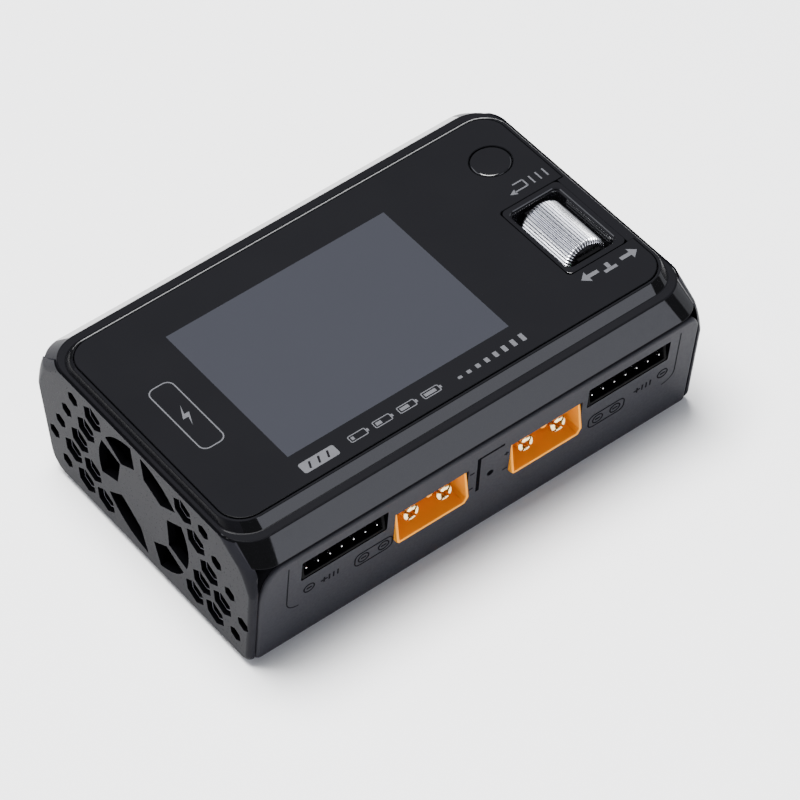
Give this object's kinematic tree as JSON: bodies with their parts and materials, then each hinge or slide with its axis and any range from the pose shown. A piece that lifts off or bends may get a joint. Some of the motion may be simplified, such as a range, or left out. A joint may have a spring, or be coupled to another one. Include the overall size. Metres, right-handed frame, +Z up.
{
  "type": "balance battery charger",
  "caption": "Compact balance battery charger with colour display, select roller, exit button, front power outputs and balance sockets, and a fan behind a vented end.",
  "frame": {"origin": "middle of the surface the charger stands on, under the centre of its box", "axes": "+X along the long side towards the roller, +Y to the rear, +Z up through the display; the output ports face -Y"},
  "size_m": [0.098, 0.068, 0.035],
  "materials": {
    "gloss_shell": "polished",
    "satin_cap": "satin",
    "matte_case": "fine texture",
    "display_glass": "smooth",
    "black_moulding": "moulded",
    "circuit_board": "solder mask",
    "connector_amber": "moulded nylon",
    "contact_gold": "gold plated",
    "bright_pin": "tin plated",
    "roller_metal": "knurled, bright",
    "bare_aluminium": "extruded",
    "steel_fastener": "plain",
    "foot_rubber": "matt"
  },
  "bodies": {
    "case": {"balance_header_left": "black_moulding", "balance_header_right": "black_moulding", "balance_pins_left": "bright_pin", "balance_pins_right": "bright_pin", "board_spacer_1": "contact_gold", "board_spacer_2": "contact_gold", "board_spacer_3": "contact_gold", "board_spacer_4": "contact_gold", "capacitor_1": "bare_aluminium", "capacitor_2": "bare_aluminium", "capacitor_3": "bare_aluminium", "capacitor_4": "bare_aluminium", "case_screw_1": "steel_fastener", "case_screw_2": "steel_fastener", "case_screw_3": "steel_fastener", "case_screw_4": "steel_fastener", "control_board": "circuit_board", "control_chip": "black_moulding", "encoder_tray": "black_moulding", "exit_switch": "black_moulding", "faceplate": "gloss_shell", "fan_end_cap": "satin_cap", "fan_frame": "black_moulding", "heatsink": "bare_aluminium", "inductor_1": "black_moulding", "inductor_2": "black_moulding", "input_contact_1": "contact_gold", "input_contact_2": "contact_gold", "input_housing": "connector_amber", "lcd_holder": "black_moulding", "lcd_panel": "display_glass", "lower_case": "matte_case", "main_board": "circuit_board", "output_contact_left_1": "contact_gold", "output_contact_left_2": "contact_gold", "output_contact_right_1": "contact_gold", "output_contact_right_2": "contact_gold", "output_housing_left": "connector_amber", "output_housing_right": "connector_amber", "power_transistor_1": "black_moulding", "power_transistor_2": "black_moulding", "power_transistor_3": "black_moulding", "power_transistor_4": "black_moulding", "roller_bezel": "gloss_shell", "rubber_foot_1": "foot_rubber", "rubber_foot_2": "foot_rubber", "rubber_foot_3": "foot_rubber", "rubber_foot_4": "foot_rubber", "sounder": "black_moulding", "top_shell": "gloss_shell", "usb_shell": "bright_pin", "usb_tongue": "black_moulding", "vent_end_cap": "satin_cap"},
    "exit_button": {"exit_button": "gloss_shell", "switch_plunger": "black_moulding"},
    "roller_yoke": {"roller_yoke": "black_moulding", "roller_axle": "steel_fastener"},
    "roller": {"roller": "roller_metal"},
    "fan_rotor": {"fan_rotor": "black_moulding"}
  },
  "joints": [
    {"name": "exit_button_press", "type": "slide", "parent": "case", "child": "exit_button", "axis": [0, 0, -1], "range_m": [0, 0.0006], "stiffness_N_per_m": 600},
    {"name": "roller_press", "type": "slide", "parent": "case", "child": "roller_yoke", "axis": [0, 0, -1], "range_m": [0, 0.0005], "stiffness_N_per_m": 1500},
    {"name": "roller_spin", "type": "hinge", "parent": "roller_yoke", "child": "roller", "pos_m": [0.0389, -0.0058, 0.0304], "axis": [0, 1, 0], "continuous": true},
    {"name": "fan_spin", "type": "hinge", "parent": "case", "child": "fan_rotor", "pos_m": [-0.044, 0.00094, 0.0174], "axis": [1, 0, 0], "continuous": true}
  ]
}
